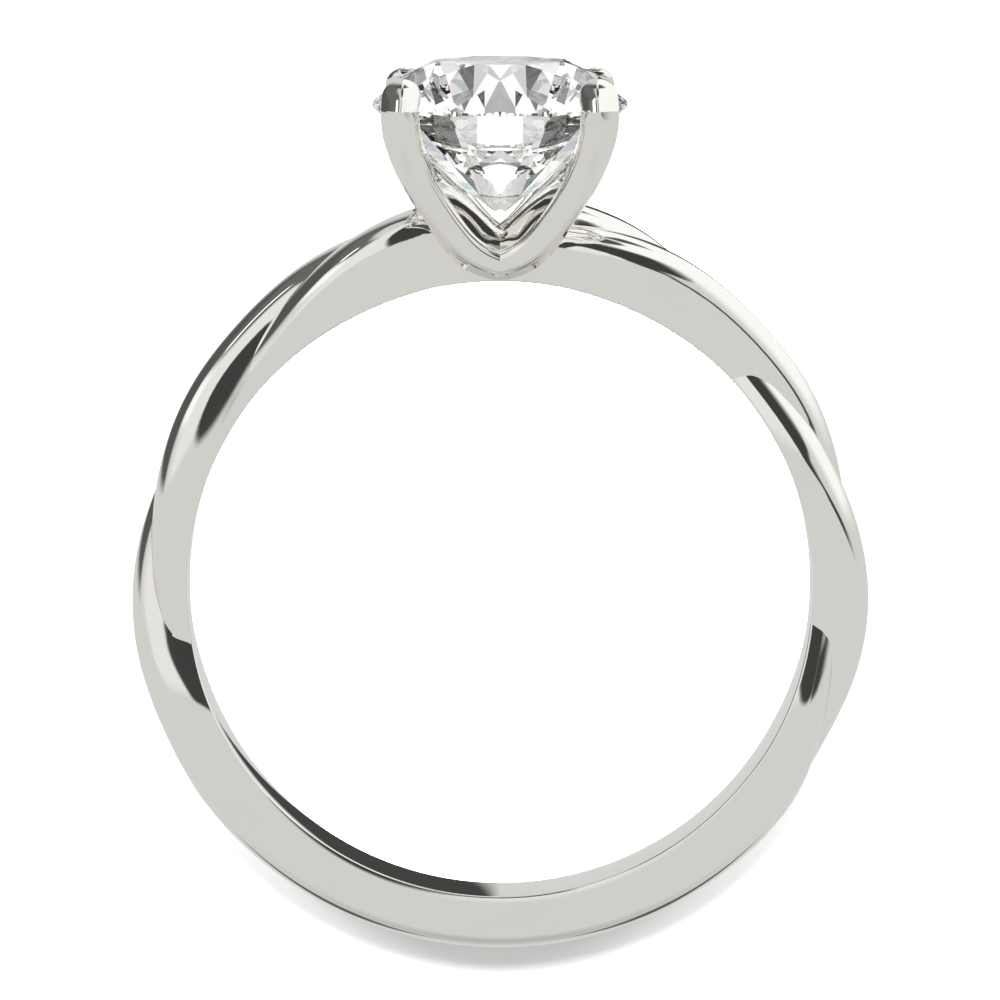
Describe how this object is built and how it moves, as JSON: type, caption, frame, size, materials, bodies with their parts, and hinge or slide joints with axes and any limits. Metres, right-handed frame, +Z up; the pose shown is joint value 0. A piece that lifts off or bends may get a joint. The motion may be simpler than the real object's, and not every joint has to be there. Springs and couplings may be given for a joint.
{
  "type": "solitaire ring",
  "caption": "Solitaire ring on its side: a band of twisted strands carries a round brilliant in a head of prongs that meet in a V at front and back.",
  "frame": {"origin": "on the floor, in the middle of the ring's footprint as it lies on its side", "axes": "+Y towards the stone's table, +X to the right as seen from above with the stone away from the viewer, +Z up; the finger's axis is 6.3 degrees from +Z, leaning towards -Y at the top"},
  "size_m": [0.02, 0.0244, 0.0068],
  "materials": {
    "polished_white_gold": "mirror-polished white gold",
    "clear_stone": "polished colourless facets"
  },
  "bodies": {
    "root": {"band_and_setting": "polished_white_gold", "round_stone": "clear_stone"}
  },
  "joints": []
}
